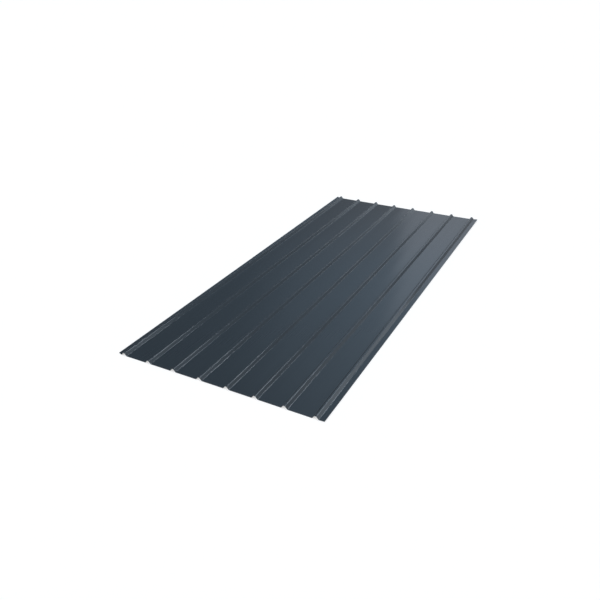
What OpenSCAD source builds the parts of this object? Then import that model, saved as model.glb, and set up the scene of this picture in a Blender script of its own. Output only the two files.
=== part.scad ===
// Ribbed steel sheet for roofs and walls, roll-formed from one painted strip.
// The sheet lies flat: ribs up, length along Y, origin below the middle of the sheet.
// Its section is one strip of even thickness, folded at bend lines. The bend lines lie in
// the middle of the steel, and each of them is rounded to the same inside radius.
// Side by side, the first rib is laid over the last rib of the sheet on its left: the lip clears
// the pan of that sheet, and its flange lies under the first pan.

/* [Sheet] */
// Length of the sheet, along its ribs
sheet_length = 2000; // [500:10:6000]
// Thickness of the painted steel
steel_thickness = 0.4; // [0.3:0.05:1]
// Width that one laid sheet covers, from the middle of the first rib to that of the last
cover_width = 850; // [600:10:1200]

/* [Ribs] */
// Number of ribs across the sheet
rib_count = 8; // [3:1:10]
// Height of a rib, from the underside of the pans to the top of the crest
rib_height = 12; // [8:0.5:20]
// Width of a rib between the bend lines at its feet
rib_base = 25; // [22:0.5:40]
// Width of a rib between the bend lines of its crest
rib_crest = 7; // [7:0.5:14]
// Inside radius of every bend
bend_radius = 2; // [0.5:0.25:3]

/* [Side laps] */
// Reach of the raised lip, from the foot of the first rib to the left edge
lip_width = 12.5; // [10:0.5:20]
// Height of the left edge above the pans
lip_rise = 6.5; // [1:0.5:8]
// Reach of the lap flange, from the foot of the last rib to the right edge
flange_width = 22.5; // [12:0.5:40]
// Height of the right edge above the pans
flange_rise = 1; // [0.5:0.5:8]

/* [Colour] */
// Colour of the paint
paint_colour = "#3d454d"; // [#3d454d:anthracite, #7a2f2a:brick red, #c9ccc8:light grey]

/* [Hidden] */

// Straight steps that each bend is made of
bend_steps = 6;
// Radius of a bend in the middle of the steel
middle_radius = bend_radius + steel_thickness / 2;
// Heights of the middle of the steel in the pans and in the crests
pan_level = steel_thickness / 2;
crest_level = rib_height - steel_thickness / 2;
// Distance from one rib to the next
rib_pitch = cover_width / (rib_count - 1);
// Middle of the first rib, and of the last, with the whole width centred on the origin
first_rib = (lip_width - flange_width - cover_width) / 2;
last_rib = first_rib + cover_width;

// Bend lines of the rib whose middle is at x, from its left foot to its right foot
function rib_corners(x) = [
    [x - rib_base / 2, pan_level],
    [x - rib_crest / 2, crest_level],
    [x + rib_crest / 2, crest_level],
    [x + rib_base / 2, pan_level]
];

// The whole strip, from the left edge to the right edge
strip_corners = [
    [first_rib - rib_base / 2 - lip_width, pan_level + lip_rise],
    for (rib = [0:rib_count - 1]) each rib_corners(first_rib + rib * rib_pitch),
    [last_rib + rib_base / 2 + flange_width, pan_level + flange_rise]
];

// Heading of the strip from one corner to the next, in degrees
function heading(start, end) = atan2(end.y - start.y, end.x - start.x);

// Unit vectors along a heading and to the left of it
function along(angle) = [cos(angle), sin(angle)];
function left_of(angle) = [-sin(angle), cos(angle)];

// Points round one bend, on the face that lies to the left of the middle by the given offset
function bend(before, corner, after, offset) =
    let (
        angle = heading(before, corner),
        turn = heading(corner, after) - angle,
        side = sign(turn),
        setback = middle_radius * tan(abs(turn) / 2),
        centre = corner - setback * along(angle) + side * middle_radius * left_of(angle),
        radius = middle_radius - side * offset
    )
    [
        for (step = [0:bend_steps])
            centre - side * radius * left_of(angle + turn * step / bend_steps)
    ];

// One face of the strip, from the left edge to the right edge
function strip_face(corners, offset) =
    let (last = len(corners) - 1)
    [
        corners[0] + offset * left_of(heading(corners[0], corners[1])),
        for (i = [1:last - 1]) each bend(corners[i - 1], corners[i], corners[i + 1], offset),
        corners[last] + offset * left_of(heading(corners[last - 1], corners[last]))
    ];

function reversed(points) = [for (i = [len(points) - 1:-1:0]) points[i]];

// Section across the ribs: the top face out, the underside back
module strip_section()
    polygon(concat(
        strip_face(strip_corners, steel_thickness / 2),
        reversed(strip_face(strip_corners, -steel_thickness / 2))
    ));

// The sheet: its section, drawn out along the ribs
module profiled_sheet()
    color(paint_colour)
        rotate([90, 0, 0])
            linear_extrude(height = sheet_length, center = true)
                strip_section();

profiled_sheet();
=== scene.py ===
"""Looks of the ribbed steel sheet: its paint, back coat and cut edges, the studio and the camera.

Lengths are in metres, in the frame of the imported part: X across the ribs, Y along them, Z up.
The sheet is meshed from the flat strip that it is rolled from, so patterns run along the steel.
"""
import math

import bpy
import numpy as np
from mathutils import Matrix, Vector


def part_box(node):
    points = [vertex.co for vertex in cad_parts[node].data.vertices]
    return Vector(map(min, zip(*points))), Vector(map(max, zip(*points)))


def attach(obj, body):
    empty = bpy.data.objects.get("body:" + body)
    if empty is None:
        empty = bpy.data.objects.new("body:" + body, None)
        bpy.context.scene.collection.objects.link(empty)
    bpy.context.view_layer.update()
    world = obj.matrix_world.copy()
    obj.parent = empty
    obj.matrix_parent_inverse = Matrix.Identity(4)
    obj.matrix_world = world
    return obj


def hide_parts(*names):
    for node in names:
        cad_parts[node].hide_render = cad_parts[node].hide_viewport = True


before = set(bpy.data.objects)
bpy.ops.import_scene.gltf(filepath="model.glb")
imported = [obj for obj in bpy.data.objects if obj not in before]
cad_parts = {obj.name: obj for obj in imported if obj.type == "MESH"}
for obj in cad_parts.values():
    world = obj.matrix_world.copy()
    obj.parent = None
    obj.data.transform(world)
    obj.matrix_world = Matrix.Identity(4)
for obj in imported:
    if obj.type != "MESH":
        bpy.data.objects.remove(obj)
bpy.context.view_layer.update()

NODE = "profiled_sheet"
BODY = "root"
MM = 0.001

# Section of the sheet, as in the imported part
SHEET_LOW, SHEET_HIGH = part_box(NODE)
SHEET_LENGTH = SHEET_HIGH.y - SHEET_LOW.y
RIB_HEIGHT = SHEET_HIGH.z - SHEET_LOW.z
STEEL = 0.4 * MM
COVER_WIDTH = 850 * MM
RIB_COUNT = 8
RIB_BASE = 25 * MM
RIB_CREST = 7 * MM
BEND_RADIUS = 2 * MM
LIP_WIDTH = 12.5 * MM
LIP_RISE = 6.5 * MM
FLANGE_WIDTH = 22.5 * MM
FLANGE_RISE = 1 * MM

MIDDLE_RADIUS = BEND_RADIUS + STEEL / 2
PAN_LEVEL = STEEL / 2
CREST_LEVEL = RIB_HEIGHT - STEEL / 2
RIB_PITCH = COVER_WIDTH / (RIB_COUNT - 1)
FIRST_RIB = (LIP_WIDTH - FLANGE_WIDTH - COVER_WIDTH) / 2
LAST_FOOT = FIRST_RIB + COVER_WIDTH - RIB_BASE / 2
LEFT_EDGE = FIRST_RIB - RIB_BASE / 2 - LIP_WIDTH
RIGHT_EDGE = FIRST_RIB + COVER_WIDTH + RIB_BASE / 2 + FLANGE_WIDTH

# From one pan to the next the strip has four straight legs: pan, flank, crest and flank
LEGS_PER_RIB = 4

# How finely the sheet is meshed
BEND_STEPS = 8
PAN_STEPS = 12
NARROW_STEPS = 3
LENGTH_STEPS = 96
SHARP_ANGLE = math.radians(40)

# The pans bulge a little, in long shallow waves, as thin rolled steel does
BULGE = 0.3 * MM
BULGE_WAVES = 3
BULGE_SEED = 7
WAVE_STRETCH = (0.8, 1.4)
WAVE_WEIGHT = (0.4, 1)

# The sheet doesn't lie dead flat: its near end arches, and the corners of its far end lift
NEAR_ARCH = 1.5 * MM
FAR_LIFT = 2 * MM

# The corners of the lap flange spring up a little, as the ends of rolled edges do
FAR_SPRING = 2.5 * MM
NEAR_SPRING = 1.5 * MM
SPRING_REACH = 150 * MM

# Marks on the points of the strip: what stands for a place off the pans, and on or off a bend
OFF_PAN = -1
ON_BEND, OFF_BEND = 1, 0

# Names of the data that the materials read
STRIP_MAP = "strip"
BAKE_MAP = "OFBake"
BEND_SHARE = "bend_share"

# Boxes of the parts of the sheet in the baked picture: left, low, wide, high
PAINTED_BOX = (0.008, 0.008, 0.474, 0.984)
COATED_BOX = (0.498, 0.008, 0.474, 0.984)
NEAR_END_BOX = (0.980, 0.008, 0.004, 0.484)
FAR_END_BOX = (0.980, 0.508, 0.004, 0.484)
LEFT_SIDE_BOX = (0.986, 0.008, 0.004, 0.984)
RIGHT_SIDE_BOX = (0.992, 0.008, 0.004, 0.984)

# Material of each part of the mesh: paint, back coat, and cut edge on both ends and both sides
PART_MATERIALS = (0, 1, 2, 2, 2, 2)


def strip_corners():
    """Bend lines of the strip, in the middle of the steel, from the left edge to the right."""
    corners = [(LEFT_EDGE, PAN_LEVEL + LIP_RISE)]
    for rib in range(RIB_COUNT):
        x = FIRST_RIB + rib * RIB_PITCH
        corners.append((x - RIB_BASE / 2, PAN_LEVEL))
        corners.append((x - RIB_CREST / 2, CREST_LEVEL))
        corners.append((x + RIB_CREST / 2, CREST_LEVEL))
        corners.append((x + RIB_BASE / 2, PAN_LEVEL))
    corners.append((RIGHT_EDGE, PAN_LEVEL + FLANGE_RISE))
    return np.array(corners)


def leg_points(start, end, normal, is_pan):
    """Points of one straight leg: place, normal, share of the way across a pan, and bend mark."""
    steps = PAN_STEPS if is_pan else NARROW_STEPS
    points = []
    for step in range(steps + 1):
        place = start + (end - start) * step / steps
        pan_share = step / steps if is_pan else OFF_PAN
        points.append((*place, *normal, pan_share, OFF_BEND))
    return points


def bend_points(centre, heading, turn):
    """Points round one bend, as above, without its two ends, which the legs have."""
    points = []
    for step in range(1, BEND_STEPS):
        angle = heading + turn * step / BEND_STEPS
        normal = np.array([-math.sin(angle), math.cos(angle)])
        place = centre - np.sign(turn) * MIDDLE_RADIUS * normal
        points.append((*place, *normal, OFF_PAN, ON_BEND))
    return points


def strip_line():
    """Points along the middle of the steel: their places, upward normals, pan shares and bend marks."""
    corners = strip_corners()
    legs = np.diff(corners, axis=0)
    headings = np.arctan2(legs[:, 1], legs[:, 0])
    turns = np.diff(headings)
    setbacks = np.concatenate([[0], MIDDLE_RADIUS * np.tan(np.abs(turns) / 2), [0]])
    last = len(turns)
    points = []
    for leg, heading in enumerate(headings):
        along = np.array([math.cos(heading), math.sin(heading)])
        normal = np.array([-along[1], along[0]])
        start = corners[leg] + setbacks[leg] * along
        end = corners[leg + 1] - setbacks[leg + 1] * along
        is_pan = leg % LEGS_PER_RIB == 0 and 0 < leg < last
        points += leg_points(start, end, normal, is_pan)
        if leg < last:
            centre = end + np.sign(turns[leg]) * MIDDLE_RADIUS * normal
            points += bend_points(centre, heading, turns[leg])
    table = np.array(points)
    return table[:, 0:2], table[:, 2:4], table[:, 4], table[:, 5]


def places_across(line):
    """Distance of each point from the left edge, along the strip."""
    widths = np.linalg.norm(np.diff(line, axis=0), axis=1)
    return np.concatenate([[0], np.cumsum(widths)])


def pan_bulge(pan_shares, y):
    """Rise of the pans at each place along the length."""
    rng = np.random.default_rng(BULGE_SEED)
    on_pan = pan_shares >= 0
    pan_number = np.cumsum(pan_shares == 0)
    along = (y - y[0]) / (y[-1] - y[0])
    rise = np.zeros((len(y), len(pan_shares)))
    for pan in range(1, RIB_COUNT):
        wave = np.zeros(len(y))
        for count in range(1, BULGE_WAVES + 1):
            phase = count * along * rng.uniform(*WAVE_STRETCH) + rng.uniform()
            wave += rng.uniform(*WAVE_WEIGHT) * np.sin(2 * math.pi * phase)
        height = BULGE * (1 + wave / BULGE_WAVES) / 2
        here = on_pan & (pan_number == pan)
        rise[:, here] = height[:, None] * np.sin(math.pi * pan_shares[here]) ** 2
    return rise


def lie(x, y):
    """Rise of the whole sheet over the floor that it lies on."""
    along = ((y - SHEET_LOW.y) / SHEET_LENGTH)[:, None]
    off_middle = (2 * x / (RIGHT_EDGE - LEFT_EDGE)) ** 2
    return NEAR_ARCH * (1 - along) ** 2 * (1 - off_middle) + FAR_LIFT * along ** 2 * off_middle


def corner_spring(x, y):
    """Rise of the last rib and the flange at both cut ends."""
    across = np.clip((x - LAST_FOOT) / (RIGHT_EDGE - LAST_FOOT), 0, 1)
    near = np.clip(1 - (y - SHEET_LOW.y) / SPRING_REACH, 0, 1) ** 2
    far = np.clip(1 - (SHEET_HIGH.y - y) / SPRING_REACH, 0, 1) ** 2
    return (NEAR_SPRING * near + FAR_SPRING * far)[:, None] * across


def face_points(line, normal, offset, y, rise):
    """Grid of points on the face that lies above the middle of the steel by the offset."""
    flat = line + offset * normal
    grid = np.empty((len(y), len(line), 3))
    grid[..., 0] = flat[:, 0]
    grid[..., 1] = y[:, None]
    grid[..., 2] = flat[:, 1] + rise
    return grid.reshape(-1, 3)


def quads(first, second, third, fourth):
    """Faces between four grids of vertex numbers."""
    return np.stack([corner.ravel() for corner in (first, second, third, fourth)], axis=1)


def sheet_parts(rows, columns):
    """Faces of the painted top, the coated back, the near and far ends, and the left and right sides."""
    top = np.arange(rows * columns).reshape(rows, columns)
    under = top + rows * columns
    painted = quads(top[:-1, :-1], top[:-1, 1:], top[1:, 1:], top[1:, :-1])
    coated = quads(under[:-1, :-1], under[1:, :-1], under[1:, 1:], under[:-1, 1:])
    near_end = quads(top[0, :-1], under[0, :-1], under[0, 1:], top[0, 1:])
    far_end = quads(top[-1, 1:], under[-1, 1:], under[-1, :-1], top[-1, :-1])
    left_side = quads(top[1:, 0], under[1:, 0], under[:-1, 0], top[:-1, 0])
    right_side = quads(top[:-1, -1], under[:-1, -1], under[1:, -1], top[1:, -1])
    return [painted, coated, near_end, far_end, left_side, right_side]


def sheet_mesh():
    """The sheet as one closed mesh: painted top, coated back and bare cut edges."""
    line, normal, pan_shares, bend_marks = strip_line()
    y = np.linspace(SHEET_LOW.y, SHEET_HIGH.y, LENGTH_STEPS + 1)
    rise = pan_bulge(pan_shares, y) + lie(line[:, 0], y) + corner_spring(line[:, 0], y)
    top = face_points(line, normal, STEEL / 2, y, rise)
    under = face_points(line, normal, -STEEL / 2, y, rise)
    parts = sheet_parts(len(y), len(line))

    mesh = bpy.data.meshes.new("ribbed_sheet")
    mesh.from_pydata(np.concatenate([top, under]).tolist(), [], np.concatenate(parts).tolist())
    slots = np.repeat(PART_MATERIALS, [len(part) for part in parts])
    mesh.polygons.foreach_set("material_index", slots.astype(np.int32))
    mesh.polygons.foreach_set("use_smooth", np.ones(len(mesh.polygons), bool))
    mesh.set_sharp_from_angle(angle=SHARP_ANGLE)
    on_bends = mesh.attributes.new(BEND_SHARE, "FLOAT", "POINT")
    on_bends.data.foreach_set("value", np.tile(bend_marks, 2 * len(y)).astype(np.float32))
    add_maps(mesh, parts, line, y)
    return mesh


def set_map(mesh, name, places):
    """A UV map with one place for each corner of each face."""
    uv_map = mesh.uv_layers.new(name=name)
    uv_map.uv.foreach_set("vector", places.astype(np.float32).ravel())


def add_maps(mesh, parts, line, y):
    """Two UV maps: places on the flat strip in metres, and the layout of the baked pictures.

    On cut edges the first map runs along the edge and through the steel, from the paint down.
    """
    across = places_across(line)
    along = y - y[0]
    columns, rows = len(across), len(along)
    across_of = np.tile(across, 2 * rows)
    along_of = np.tile(np.repeat(along, columns), 2)
    depth_of = np.repeat([0, STEEL], rows * columns)
    layouts = [
        (across_of, along_of, PAINTED_BOX),
        (across_of, along_of, COATED_BOX),
        (depth_of, across_of, NEAR_END_BOX),
        (depth_of, across_of, FAR_END_BOX),
        (depth_of, along_of, LEFT_SIDE_BOX),
        (depth_of, along_of, RIGHT_SIDE_BOX),
    ]
    strip_places, bake_places = [], []
    for part, (u_of, v_of, (left, low, wide, high)) in zip(parts, layouts):
        corners = part.ravel()
        u, v = u_of[corners], v_of[corners]
        u_share, v_share = u / u_of.max(), v / v_of.max()
        strip_places.append(np.stack([u, v], axis=1))
        bake_places.append(np.stack([left + wide * u_share, low + high * v_share], axis=1))
    set_map(mesh, STRIP_MAP, np.concatenate(strip_places))
    set_map(mesh, BAKE_MAP, np.concatenate(bake_places))


def add_node(tree, kind, inputs, **settings):
    """A new node with its settings, and with each of its inputs linked or set."""
    node = tree.nodes.new("ShaderNode" + kind)
    for name, value in settings.items():
        setattr(node, name, value)
    for key, value in inputs.items():
        if isinstance(value, bpy.types.NodeSocket):
            tree.links.new(value, node.inputs[key])
        else:
            node.inputs[key].default_value = value
    return node


def new_material(name):
    """A material with its node tree and its Principled shader."""
    material = bpy.data.materials.new(name)
    material.use_nodes = True
    return material, material.node_tree, material.node_tree.nodes["Principled BSDF"]


def strip_place(tree):
    """Place on the flat strip, in metres across and along."""
    return add_node(tree, "UVMap", {}, uv_map=STRIP_MAP).outputs["UV"]


def on_bend(tree):
    """1 on the bends of the strip and 0 elsewhere."""
    return add_node(tree, "Attribute", {}, attribute_name=BEND_SHARE).outputs["Fac"]


def pattern(tree, place, across, along, detail, shift):
    """Soft noise from 0 to 1, with so many waves to the metre across and along the strip."""
    stretch = {"Vector": place, "Location": (shift, shift, 0), "Scale": (across, along, 1)}
    scaled = add_node(tree, "Mapping", stretch).outputs["Vector"]
    return add_node(tree, "TexNoise", {"Vector": scaled, "Scale": 1, "Detail": detail}).outputs["Fac"]


def calculate(tree, operation, first, second):
    """Result of a Math node on two values."""
    return add_node(tree, "Math", {0: first, 1: second}, operation=operation).outputs["Value"]


def remap(tree, value, low, high, to_low, to_high, change="LINEAR"):
    """Value moved from one range to another, evenly or by a smooth step, and kept inside it."""
    ends = {"Value": value, "From Min": low, "From Max": high, "To Min": to_low, "To Max": to_high}
    return add_node(tree, "MapRange", ends, interpolation_type=change).outputs["Result"]


def blend(tree, share, first, second):
    """Colour between two colours."""
    return add_node(tree, "Mix", {0: share, 6: first, 7: second}, data_type="RGBA").outputs[2]


def bump(tree, shader, height, depth):
    """Fine relief of the given depth, in metres."""
    relief = add_node(tree, "Bump", {"Height": height, "Distance": depth})
    tree.links.new(relief.outputs["Normal"], shader.inputs["Normal"])


# Ranges of a noise that are spread out: nearly all of it, most of it, its middle and its upper part
NOISE_ALL = (0.25, 0.75)
NOISE_MOST = (0.3, 0.7)
NOISE_MIDDLE = (0.35, 0.65)
NOISE_UPPER = (0.4, 0.7)

# Patterns of the paint: waves to the metre across and along the strip, detail, and shift
PAINT_CLOUDS = (4, 2.5, 3, 0)
PAINT_STREAKS = (130, 0.9, 4, 3)
PAINT_GRAIN = (900, 900, 1, 5)
PAINT_PEEL = (320, 320, 2, 9)

# Colours of the paint, and how much each pattern moves it from dark to light
PAINT_DARK = (0.0190, 0.0258, 0.0322, 1)
PAINT_LIGHT = (0.0238, 0.0316, 0.0390, 1)
PAINT_CLOUD_TONE = 0.5
PAINT_STREAK_TONE = 0.3
PAINT_GRAIN_TONE = 0.2
# Paler colour on the bends, and how much of it: partly stress-whitened paint, partly a painted highlight
# along the bend lines
WHITENED_BEND_AND_HIGHLIGHT = (0.040, 0.050, 0.060, 1)
WHITENED_BEND_AND_HIGHLIGHT_SHARE = 0.25

# Chips along the cut edges: how far in they reach, from all chipped to none, and how far they stray
CHIP_GREY = (0.30, 0.31, 0.32, 1)
CHIP_REACH = (0.1 * MM, 0.5 * MM)
CHIP_STRAY = 0.6 * MM

# Roughness and relief of the paint
PAINT_ROUGHNESS = (0.13, 0.155)
STREAK_ROUGHNESS = 0.03
CHIP_ROUGHNESS = 0.2
PAINT_RELIEF = 0.004 * MM
PAINT_GRAIN_RELIEF = 0.3


def edge_distance(tree, place):
    """Distance in metres from the nearest cut edge of the sheet."""
    line = strip_line()[0]
    strip_width = float(places_across(line)[-1])
    split = add_node(tree, "SeparateXYZ", {"Vector": place})
    from_sides = calculate(tree, "PINGPONG", split.outputs["X"], strip_width / 2)
    from_ends = calculate(tree, "PINGPONG", split.outputs["Y"], SHEET_LENGTH / 2)
    return calculate(tree, "MINIMUM", from_sides, from_ends)


def edge_chips(tree, place, grain):
    """1 where the paint is chipped off along the cut edges, and 0 elsewhere."""
    stray = remap(tree, grain, *NOISE_MIDDLE, -CHIP_STRAY, CHIP_STRAY)
    distance = calculate(tree, "ADD", edge_distance(tree, place), stray)
    return remap(tree, distance, *CHIP_REACH, 1, 0)


def paint():
    """Satin anthracite coil paint: clouds, roll streaks, orange peel, bends that are paler, partly from
    stress-whitened paint and partly from a painted highlight, and chipped edges.
    """
    material, tree, shader = new_material("anthracite_paint")
    place = strip_place(tree)
    clouds = pattern(tree, place, *PAINT_CLOUDS)
    streaks = pattern(tree, place, *PAINT_STREAKS)
    grain = pattern(tree, place, *PAINT_GRAIN)
    chipped = edge_chips(tree, place, grain)

    cloud_tone = remap(tree, clouds, *NOISE_MOST, 0, PAINT_CLOUD_TONE)
    streak_tone = remap(tree, streaks, *NOISE_MOST, 0, PAINT_STREAK_TONE)
    grain_tone = remap(tree, grain, *NOISE_ALL, 0, PAINT_GRAIN_TONE)
    tone = calculate(tree, "ADD", cloud_tone, streak_tone)
    tone = calculate(tree, "ADD", tone, grain_tone)
    colour = blend(tree, tone, PAINT_DARK, PAINT_LIGHT)
    # Bends painted paler: partly stress-whitened paint, partly a painted highlight
    whitened_and_highlit = calculate(tree, "MULTIPLY", on_bend(tree), WHITENED_BEND_AND_HIGHLIGHT_SHARE)
    colour = blend(tree, whitened_and_highlit, colour, WHITENED_BEND_AND_HIGHLIGHT)
    colour = blend(tree, chipped, colour, CHIP_GREY)
    tree.links.new(colour, shader.inputs["Base Color"])

    cloud_roughness = remap(tree, clouds, *NOISE_MIDDLE, *PAINT_ROUGHNESS)
    streak_roughness = remap(tree, streaks, *NOISE_UPPER, 0, STREAK_ROUGHNESS)
    chip_roughness = calculate(tree, "MULTIPLY", chipped, CHIP_ROUGHNESS)
    roughness = calculate(tree, "ADD", cloud_roughness, streak_roughness)
    roughness = calculate(tree, "ADD", roughness, chip_roughness)
    tree.links.new(roughness, shader.inputs["Roughness"])

    peel = pattern(tree, place, *PAINT_PEEL)
    fine = calculate(tree, "MULTIPLY", grain, PAINT_GRAIN_RELIEF)
    bump(tree, shader, calculate(tree, "ADD", peel, fine), PAINT_RELIEF)
    return material


# Patterns of the back coat, as for the paint
COAT_CLOUDS = (6, 4, 3, 1)
COAT_SCUFFS = (210, 1.6, 5, 7)
COAT_GRAIN = (700, 700, 1, 2)

# Colours of the back coat
COAT_DARK = (0.37, 0.38, 0.365, 1)
COAT_LIGHT = (0.46, 0.47, 0.45, 1)
COAT_CLOUD_TONE = 0.6
COAT_GRAIN_TONE = 0.4
COAT_ON_BENDS = (0.33, 0.34, 0.335, 1)
COAT_BEND_SHARE = 0.35

# Scuffs that the rolls leave on the back coat: where the noise makes one, and how strong it gets
SCUFF_GREY = (0.29, 0.30, 0.295, 1)
SCUFF_NOISE = (0.58, 0.72)
SCUFF_SHARE = 0.6

# Roughness and relief of the back coat
COAT_ROUGHNESS = (0.42, 0.5)
SCUFF_ROUGHNESS = -0.12
COAT_RELIEF = 0.006 * MM
SCUFF_RELIEF = 0.5


def back_coat():
    """Thin pale grey coat under the sheet: clouds, roll scuffs along the strip and rubbed bends."""
    material, tree, shader = new_material("grey_back_coat")
    place = strip_place(tree)
    clouds = pattern(tree, place, *COAT_CLOUDS)
    scuffs = pattern(tree, place, *COAT_SCUFFS)
    grain = pattern(tree, place, *COAT_GRAIN)
    marks = remap(tree, scuffs, *SCUFF_NOISE, 0, SCUFF_SHARE)

    cloud_tone = remap(tree, clouds, *NOISE_MOST, 0, COAT_CLOUD_TONE)
    grain_tone = remap(tree, grain, *NOISE_ALL, 0, COAT_GRAIN_TONE)
    tone = calculate(tree, "ADD", cloud_tone, grain_tone)
    colour = blend(tree, tone, COAT_DARK, COAT_LIGHT)
    colour = blend(tree, marks, colour, SCUFF_GREY)
    rubbed = calculate(tree, "MULTIPLY", on_bend(tree), COAT_BEND_SHARE)
    colour = blend(tree, rubbed, colour, COAT_ON_BENDS)
    tree.links.new(colour, shader.inputs["Base Color"])

    cloud_roughness = remap(tree, clouds, *NOISE_MOST, *COAT_ROUGHNESS)
    scuff_roughness = calculate(tree, "MULTIPLY", marks, SCUFF_ROUGHNESS)
    roughness = calculate(tree, "ADD", cloud_roughness, scuff_roughness)
    tree.links.new(roughness, shader.inputs["Roughness"])

    scored = calculate(tree, "MULTIPLY", scuffs, SCUFF_RELIEF)
    bump(tree, shader, calculate(tree, "ADD", grain, scored), COAT_RELIEF)
    return material


# Cut edge: its notches as a pattern, the depth at which it turns from burnished to torn, and its colours
EDGE_NOTCHES = (900, 900, 3, 4)
TORN_DEPTH = (0.12 * MM, 0.2 * MM)
TORN_STRAY = 0.05 * MM
BURNISHED_DARK = (0.50, 0.51, 0.52, 1)
BURNISHED_LIGHT = (0.62, 0.63, 0.64, 1)
TORN_DARK = (0.30, 0.30, 0.30, 1)
TORN_LIGHT = (0.44, 0.44, 0.43, 1)
EDGE_ROUGHNESS = (0.28, 0.6)
EDGE_RELIEF = 0.02 * MM


def cut_edge():
    """Sheared steel: a burnished band below the paint, then a dull torn band."""
    material, tree, shader = new_material("cut_edge")
    place = strip_place(tree)
    notches = pattern(tree, place, *EDGE_NOTCHES)
    below_paint = add_node(tree, "SeparateXYZ", {"Vector": place}).outputs["X"]
    stray = remap(tree, notches, *NOISE_MOST, -TORN_STRAY, TORN_STRAY)
    depth = calculate(tree, "ADD", below_paint, stray)
    torn = remap(tree, depth, *TORN_DEPTH, 0, 1)
    shine = remap(tree, notches, *NOISE_MOST, 0, 1)
    burnished = blend(tree, shine, BURNISHED_DARK, BURNISHED_LIGHT)
    dull = blend(tree, shine, TORN_DARK, TORN_LIGHT)
    tree.links.new(blend(tree, torn, burnished, dull), shader.inputs["Base Color"])
    tree.links.new(remap(tree, torn, 0, 1, *EDGE_ROUGHNESS), shader.inputs["Roughness"])
    shader.inputs["Metallic"].default_value = 1
    bump(tree, shader, notches, EDGE_RELIEF)
    return material


def add_sheet():
    """The sheet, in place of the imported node."""
    sheet = bpy.data.objects.new("ribbed_sheet", sheet_mesh())
    bpy.context.scene.collection.objects.link(sheet)
    for make in (paint, back_coat, cut_edge):
        sheet.data.materials.append(make())
    weighted = sheet.modifiers.new("flat_faces_lead", "WEIGHTED_NORMAL")
    weighted.keep_sharp = True
    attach(sheet, BODY)
    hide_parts(NODE)
    return sheet


# Floor: wide, white with a glow of its own, and just below the sheet
FLOOR_SIZE = 400.0
FLOOR_GAP = 0.3 * MM
FLOOR_GREY = (0.6, 0.6, 0.6, 1)
FLOOR_ROUGHNESS = 0.9
FLOOR_GLOW = 0.475
GLOW_COLOUR = (1, 1, 1, 1)


def add_floor():
    """White floor that keeps the shadow of the sheet: part of its white is a glow of its own."""
    half = FLOOR_SIZE / 2
    corners = [(-half, -half, 0), (half, -half, 0), (half, half, 0), (-half, half, 0)]
    mesh = bpy.data.meshes.new("floor")
    mesh.from_pydata(corners, [], [(0, 1, 2, 3)])
    floor = bpy.data.objects.new("floor", mesh)
    floor.location.z = -FLOOR_GAP
    bpy.context.scene.collection.objects.link(floor)
    material, tree, shader = new_material("floor")
    shader.inputs["Base Color"].default_value = FLOOR_GREY
    shader.inputs["Roughness"].default_value = FLOOR_ROUGHNESS
    shader.inputs["Specular IOR Level"].default_value = 0
    shader.inputs["Emission Color"].default_value = GLOW_COLOUR
    ray = add_node(tree, "LightPath", {}).outputs
    seen = calculate(tree, "MAXIMUM", ray["Is Camera Ray"], ray["Is Glossy Ray"])
    seen = calculate(tree, "MAXIMUM", seen, ray["Is Transmission Ray"])
    tree.links.new(calculate(tree, "MULTIPLY", seen, FLOOR_GLOW), shader.inputs["Emission Strength"])
    mesh.materials.append(material)


# Surroundings. Each pair gives where a change starts and ends, by elevation in degrees. From front to back
# it goes by the Y of a direction
HORIZON_COLOUR = (1, 1, 1, 1)
FRONT_WHITE_FADE = (2, 8)
BACK_WHITE_FADE = (11, 18)
FRONT_TO_BACK = (0.62, 0.32)
LOW_TINT = (0.62, 0.64, 0.70, 1)
HIGH_TINT = (0.62, 0.80, 1.0, 1)
TINT_CHANGE = (19, 28)
DIM_CHANGE = (12, 19)
DIM_LEVELS = (0.32, 0.16)

# Brighter patch of the surroundings: bearing and elevation, radii of its core and rim in degrees, level
PATCH_CENTRE = (-8, 33.5)
PATCH_CORE = 12
PATCH_RIM = 27
PATCH_FALLOFF = 1.4
PATCH_LEVEL = 0.47


def direction(bearing, elevation):
    """Unit vector at a bearing, in degrees from +Y towards +X, and an elevation above the floor."""
    b, e = math.radians(bearing), math.radians(elevation)
    return Vector((math.sin(b) * math.cos(e), math.cos(b) * math.cos(e), math.sin(e)))


def rising(tree, height, low, high, at_low, at_high):
    """Value that changes smoothly between two elevations in degrees, by the height of a direction."""
    start, end = math.sin(math.radians(low)), math.sin(math.radians(high))
    return remap(tree, height, start, end, at_low, at_high, "SMOOTHSTEP")


def horizon_white(tree, split):
    """Share of white along the horizon, which reaches higher at the sides and behind the camera."""
    front = rising(tree, split["Z"], *FRONT_WHITE_FADE, 1, 0)
    back = rising(tree, split["Z"], *BACK_WHITE_FADE, 1, 0)
    behind = remap(tree, split["Y"], *FRONT_TO_BACK, 0, 1, "SMOOTHSTEP")
    return calculate(tree, "MAXIMUM", front, calculate(tree, "MULTIPLY", back, behind))


def bright_patch(tree, place):
    """Level of the brighter patch, which fades from its core to its rim."""
    core, rim = math.cos(math.radians(PATCH_CORE)), math.cos(math.radians(PATCH_RIM))
    facing = {0: place, 1: direction(*PATCH_CENTRE)}
    towards = add_node(tree, "VectorMath", facing, operation="DOT_PRODUCT").outputs["Value"]
    share = calculate(tree, "POWER", remap(tree, towards, rim, core, 0, 1), PATCH_FALLOFF)
    return calculate(tree, "MULTIPLY", share, PATCH_LEVEL)


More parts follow.
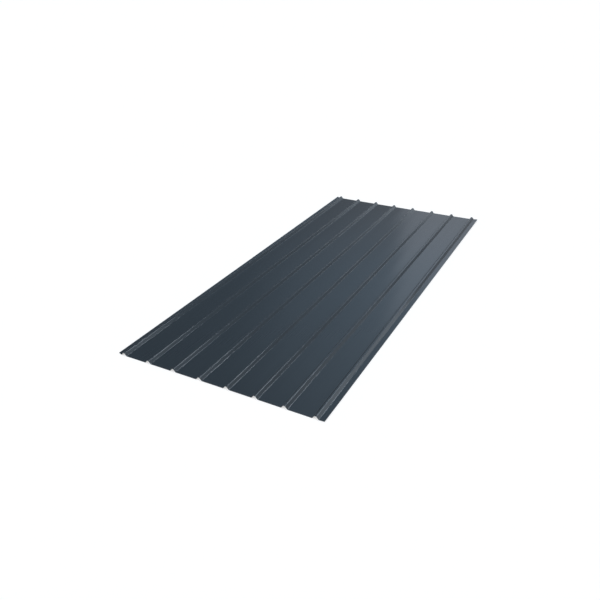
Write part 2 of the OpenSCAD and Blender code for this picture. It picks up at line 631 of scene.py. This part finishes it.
def add_world():
    """Surroundings that are white at the horizon, dim above it, and brighter round one direction."""
    world = bpy.data.worlds.new("studio")
    world.use_nodes = True
    tree = world.node_tree
    place = add_node(tree, "TexCoord", {}).outputs["Generated"]
    split = add_node(tree, "SeparateXYZ", {"Vector": place}).outputs
    tint = blend(tree, rising(tree, split["Z"], *TINT_CHANGE, 0, 1), LOW_TINT, HIGH_TINT)
    even = rising(tree, split["Z"], *DIM_CHANGE, *DIM_LEVELS)
    level = calculate(tree, "ADD", even, bright_patch(tree, place))
    dim = add_node(tree, "VectorMath", {0: tint, "Scale": level}, operation="SCALE").outputs["Vector"]
    colour = blend(tree, horizon_white(tree, split), dim, HORIZON_COLOUR)
    tree.links.new(colour, tree.nodes["Background"].inputs["Color"])
    bpy.context.scene.world = world


# Light from overhead, behind the camera, that falls on all
OVERHEAD_ENERGY = 2.6
OVERHEAD_SPREAD = math.radians(100)
OVERHEAD_DIRECTION = (180, 60)
LIGHT_DISTANCE = 40.0

# Lights that the paint mirrors. They light the sheet only, so the floor stays even
WHITE = (1, 1, 1)
PALE = (0.84, 0.90, 1.0)
COOL = (0.80, 0.90, 1.0)

# Panels close by: width, height, radiance, colour, place and target, in metres
PANELS = {
    "key": (0.45, 0.75, 19, COOL, (0.78, 0.46, 1.57), (0, -0.9, 0)),
    "low_wall": (11, 0.9, 1.35, COOL, (5, 1.5, 0.92), (0, 1.5, 0.92)),
}

# Panels far off: bearing, elevation, width and height in degrees, radiance and colour
SOFTBOXES = {
    "far_window": (-10.75, 26.5, 14.5, 19, 0.51, PALE),
    "window_side": (2, 25, 11, 12, 0.40, PALE),
    "mid_strip": (22, 28, 11, 11, 3.2, WHITE),
    "right_back": (24.5, 17, 7, 8, 0.47, COOL),
    "far_slot": (22.6, 13.5, 4, 11, 1.9, COOL),
    "right_wall": (35, 18, 26, 16, 0.25, COOL),
    "right_front": (58, 26, 19, 20, 0.75, COOL),
}


def place_light(name, light, place, target=(0, 0, 0)):
    """Light turned to a target, and not itself in the picture."""
    lamp = bpy.data.objects.new(name, light)
    lamp.location = place
    lamp.rotation_euler = (Vector(target) - lamp.location).to_track_quat("-Z", "Y").to_euler()
    lamp.visible_camera = False
    bpy.context.scene.collection.objects.link(lamp)
    return lamp


def panel(name, wide, high, radiance, colour, place, target=(0, 0, 0)):
    """Rectangle that shines evenly, sized in metres."""
    light = bpy.data.lights.new(name, "AREA")
    light.shape = "RECTANGLE"
    light.size = wide
    light.size_y = high
    light.energy = radiance * math.pi * wide * high
    light.color = colour
    return place_light(name, light, place, target)


def softbox(name, bearing, elevation, wide, high, radiance, colour):
    """Panel far off, that looks so many degrees wide and high from the sheet."""
    across, up = (2 * LIGHT_DISTANCE * math.tan(math.radians(angle) / 2) for angle in (wide, high))
    return panel(name, across, up, radiance, colour, direction(bearing, elevation) * LIGHT_DISTANCE)


def add_lights(sheet):
    """An even light from overhead, and the panels that the paint mirrors."""
    overhead = bpy.data.lights.new("overhead", "SUN")
    overhead.energy = OVERHEAD_ENERGY
    overhead.angle = OVERHEAD_SPREAD
    place_light("overhead", overhead, direction(*OVERHEAD_DIRECTION) * LIGHT_DISTANCE)

    mirrored = [panel(name, *values) for name, values in PANELS.items()]
    mirrored += [softbox(name, *values) for name, values in SOFTBOXES.items()]
    sheet_only = bpy.data.collections.new("sheet_only")
    sheet_only.objects.link(sheet)
    for lamp in mirrored:
        lamp.light_linking.receiver_collection = sheet_only


# Camera, as the photograph was taken
CAMERA_AZIMUTH = math.radians(27.926)
CAMERA_ELEVATION = math.radians(29.271)
CAMERA_ROLL = math.radians(-0.902)
CAMERA_DISTANCE = 2.763327
CAMERA_TARGET = Vector((0.04043, -0.269816, 0))
IMAGE_SIZE_PX = 600
FOCAL_PX = 606.8
CENTRE_X_PX = 315.341
SENSOR_MM = 36


def add_camera():
    """The camera, with the roll and the off-centre axis of the photograph."""
    lens = bpy.data.cameras.new("camera")
    lens.sensor_width = SENSOR_MM
    lens.lens = SENSOR_MM * FOCAL_PX / IMAGE_SIZE_PX
    lens.shift_x = 0.5 - CENTRE_X_PX / IMAGE_SIZE_PX
    camera = bpy.data.objects.new("camera", lens)
    turn = Matrix.Rotation(CAMERA_AZIMUTH, 4, "Z")
    tilt = Matrix.Rotation(math.pi / 2 - CAMERA_ELEVATION, 4, "X")
    away = Matrix.Translation((0, 0, CAMERA_DISTANCE))
    roll = Matrix.Rotation(CAMERA_ROLL, 4, "Z")
    camera.matrix_world = Matrix.Translation(CAMERA_TARGET) @ (turn @ tilt) @ away @ roll
    bpy.context.scene.collection.objects.link(camera)
    bpy.context.scene.camera = camera


sheet = add_sheet()
add_floor()
add_world()
add_lights(sheet)
add_camera()
bpy.context.scene.view_settings.view_transform = "Standard"
